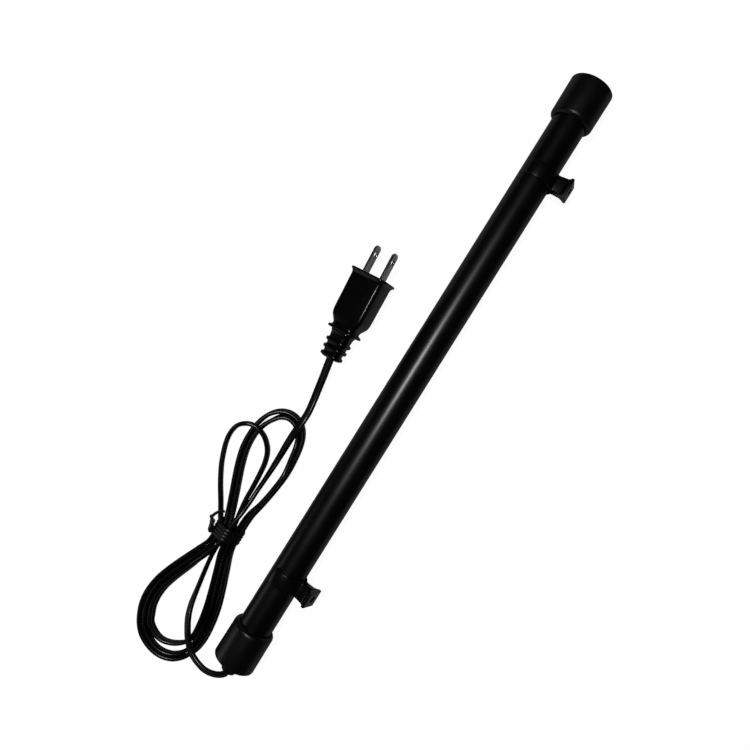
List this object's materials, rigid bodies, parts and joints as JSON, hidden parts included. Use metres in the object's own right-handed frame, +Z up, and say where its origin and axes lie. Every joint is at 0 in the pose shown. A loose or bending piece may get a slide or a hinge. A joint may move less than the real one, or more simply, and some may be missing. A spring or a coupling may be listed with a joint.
{
  "type": "tubular cabinet heating rod",
  "caption": "Black tubular heating rod with moulded end caps, push-fit foot clips and a flat two-core lead with a moulded plug, tied in a hank.",
  "frame": {"origin": "on the floor, under the middle of the rod with its clips (the lead and what is on it left out)", "axes": "+X along the rod towards the plain end cap, +Y towards the lead's side, +Z up"},
  "size_m": [0.429, 0.0998, 0.0281],
  "materials": {
    "tube_enamel": "satin black enamel on aluminium",
    "cap_plastic": "black moulded plastic, semi-gloss",
    "clip_plastic": "black moulded plastic, satin",
    "cord_pvc": "black flexible PVC",
    "tie_ribbon": "black plastic over a steel wire",
    "plug_pvc": "black moulded PVC, semi-gloss",
    "blade_nickel": "nickel-plated brass",
    "silicone": "red-brown silicone rubber",
    "ceramic": "off-white steatite",
    "resistance_wire": "drawn nickel-chrome wire",
    "glass_sleeve": "woven glass-fibre sleeve",
    "copper": "bare tinned copper alloy",
    "fuse_case": "drawn aluminium case",
    "shrink_tube": "black heat-shrink tube",
    "wire_red": "red PVC insulation",
    "wire_white": "white PVC insulation"
  },
  "bodies": {
    "rod": {"tube": "tube_enamel", "cap_plain_end": "cap_plastic", "cap_cord_end": "cap_plastic", "cord_cap_run": "cord_pvc", "cord_hank": "cord_pvc", "cord_plug_run": "cord_pvc", "cord_grommet": "cord_pvc", "twist_tie": "tie_ribbon", "twist_tie_tails": "tie_ribbon", "plug_body": "plug_pvc", "plug_insert": "plug_pvc", "plug_strain_relief": "plug_pvc", "plug_blade_left": "blade_nickel", "plug_blade_right": "blade_nickel", "seal_plain_end": "silicone", "seal_cord_end": "silicone", "spacer_cord_side": "silicone", "spacer_middle": "silicone", "spacer_plain_side": "silicone", "heater_core": "ceramic", "heater_winding": "resistance_wire", "insulating_sleeve": "glass_sleeve", "ferrule_near": "copper", "ferrule_far": "copper", "crimp_live": "copper", "crimp_neutral": "copper", "fuse_tail_in": "copper", "fuse_tail_out": "copper", "thermal_fuse": "fuse_case", "shrink_sleeve_live": "shrink_tube", "shrink_sleeve_neutral": "shrink_tube", "lead_live": "wire_red", "lead_neutral": "wire_white", "return_wire": "wire_white"},
    "clip_plain_end": {"clip_plain_end": "clip_plastic"},
    "clip_cord_end": {"clip_cord_end": "clip_plastic"}
  },
  "joints": [
    {"name": "clip_plain_end_turn", "type": "hinge", "parent": "rod", "child": "clip_plain_end", "pos_m": [0.14, 0.00454, 0.0133], "axis": [1, 0, 0], "continuous": true},
    {"name": "clip_cord_end_turn", "type": "hinge", "parent": "rod", "child": "clip_cord_end", "pos_m": [-0.14, 0.00454, 0.0133], "axis": [1, 0, 0], "continuous": true}
  ]
}
